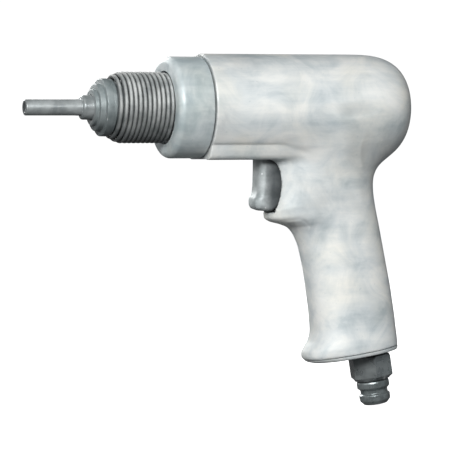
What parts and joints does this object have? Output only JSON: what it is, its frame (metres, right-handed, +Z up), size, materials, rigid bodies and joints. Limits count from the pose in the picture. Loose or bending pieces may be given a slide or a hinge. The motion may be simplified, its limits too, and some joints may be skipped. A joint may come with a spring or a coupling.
{
  "type": "pneumatic rivet hammer",
  "caption": "Pistol-grip air hammer for solid rivets: light grey cast body with rounded back, beehive retaining spring round a slim rivet set, dark trigger, hose plug under the grip.",
  "frame": {"origin": "centre of the floor of the rivet set's cup, on the hammer axis", "axes": "-X points out of the nose at the work and +X to the rounded back, +Y is the tool's right side, +Z is up, away from the grip"},
  "size_m": [0.2128, 0.0568, 0.1886],
  "materials": {
    "casting": "satin light grey casting",
    "deflector_grey": "satin blue-grey",
    "spring_steel": "oiled dark steel",
    "tool_steel": "turned dark steel",
    "trigger_grey": "dark grey, satin",
    "fitting_steel": "blackened steel, worn edges",
    "ground_steel": "ground",
    "brass": "turned",
    "rubber": "matte"
  },
  "bodies": {
    "housing": {"main_housing": "casting", "grip_base_plate": "casting", "base_plate_screw": "fitting_steel", "deflector_snap_ring": "spring_steel", "barrel": "ground_steel", "barrel_seat_ring": "brass", "retainer_spring": "spring_steel", "valve_case": "ground_steel", "valve_cap": "ground_steel", "valve_dowel_1": "ground_steel", "valve_dowel_2": "ground_steel", "recoil_pad": "rubber", "trigger_pin": "ground_steel", "throttle_bushing": "fitting_steel", "bushing_o_ring": "rubber", "stem_seal": "rubber", "throttle_spring": "spring_steel", "inlet_bushing": "fitting_steel", "inlet_washer": "rubber", "inlet_screen": "brass", "hose_plug": "fitting_steel", "regulator_snap_ring": "spring_steel"},
    "trigger": {"trigger": "trigger_grey"},
    "throttle": {"throttle_stem": "ground_steel", "throttle_valve": "rubber"},
    "piston": {"piston": "ground_steel"},
    "spool": {"valve_spool": "brass"},
    "cap": {"retainer_cap": "tool_steel"},
    "set": {"rivet_set": "tool_steel"},
    "deflector": {"exhaust_deflector": "deflector_grey"},
    "regulator": {"regulator_valve": "brass", "regulator_o_ring": "rubber"}
  },
  "joints": [
    {"name": "trigger_pull", "type": "hinge", "parent": "housing", "child": "trigger", "pos_m": [0.135, 0, -0.0254], "axis": [0, -1, 0], "range_deg": [0, 8], "stiffness_Nm_per_rad": 0.8, "springref_deg": -14.32},
    {"name": "throttle_push", "type": "slide", "parent": "housing", "child": "throttle", "axis": [1, 0, 0], "range_m": [0, 0.0026], "deforming": ["throttle_spring"]},
    {"name": "piston_stroke", "type": "slide", "parent": "housing", "child": "piston", "axis": [-1, 0, 0], "range_m": [0, 0.0472]},
    {"name": "spool_shift", "type": "slide", "parent": "housing", "child": "spool", "axis": [-1, 0, 0], "range_m": [0, 0.0026]},
    {"name": "retainer_stretch", "type": "slide", "parent": "housing", "child": "cap", "axis": [-1, 0, 0], "range_m": [0, 0.005], "stiffness_N_per_m": 3000, "springref_m": -0.004, "deforming": ["retainer_spring"]},
    {"name": "rivet_set_spin", "type": "hinge", "parent": "cap", "child": "set", "pos_m": [0, 0, 0], "axis": [1, 0, 0], "continuous": true},
    {"name": "deflector_turn", "type": "hinge", "parent": "housing", "child": "deflector", "pos_m": [0.0858, 0, 0], "axis": [1, 0, 0], "continuous": true},
    {"name": "regulator_turn", "type": "hinge", "parent": "housing", "child": "regulator", "pos_m": [0.1851, 0, -0.0994], "axis": [0, 1, 0], "range_deg": [0, 90]}
  ],
  "couplings": [
    {"joint": "throttle_push", "follows": "trigger_pull", "m_per_rad": 0.0176}
  ]
}
